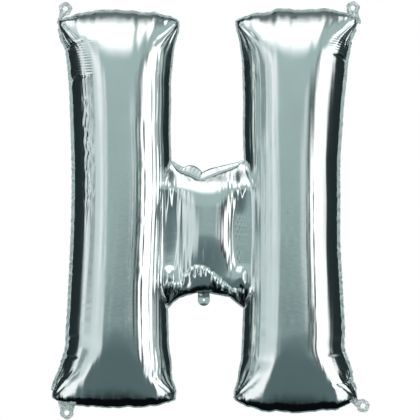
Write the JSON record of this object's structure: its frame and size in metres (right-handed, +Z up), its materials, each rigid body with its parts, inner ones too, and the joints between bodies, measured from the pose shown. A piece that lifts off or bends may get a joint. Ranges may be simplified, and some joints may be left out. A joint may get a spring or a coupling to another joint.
{
  "type": "letter foil balloon",
  "caption": "Inflated silver foil balloon in the shape of a capital H, with a welded rim, punched hanging tabs and an inflation tail.",
  "frame": {"origin": "middle of the letter, on the seam plane between the two panels", "axes": "+Z up the letter, the front panel faces -Y, +X to the right of the letter seen from the front"},
  "size_m": [0.6494, 0.1474, 0.8549],
  "materials": {
    "panel_foil": "bright metallised film, taut and mirror smooth between the seam's puckers",
    "seal_foil": "the same film welded flat, finely crinkled and a little duller",
    "tab_foil": "double film, creased, satin bright",
    "tail_film": "double film with a clear valve strip inside, creased"
  },
  "bodies": {
    "root": {"front_panel": "panel_foil", "back_panel": "panel_foil", "edge_seal": "seal_foil", "tab_top_left": "tab_foil", "tab_top_right": "tab_foil", "tab_bottom_left": "tab_foil", "tab_bottom_right": "tab_foil", "inflation_tail": "tail_film"}
  },
  "joints": []
}
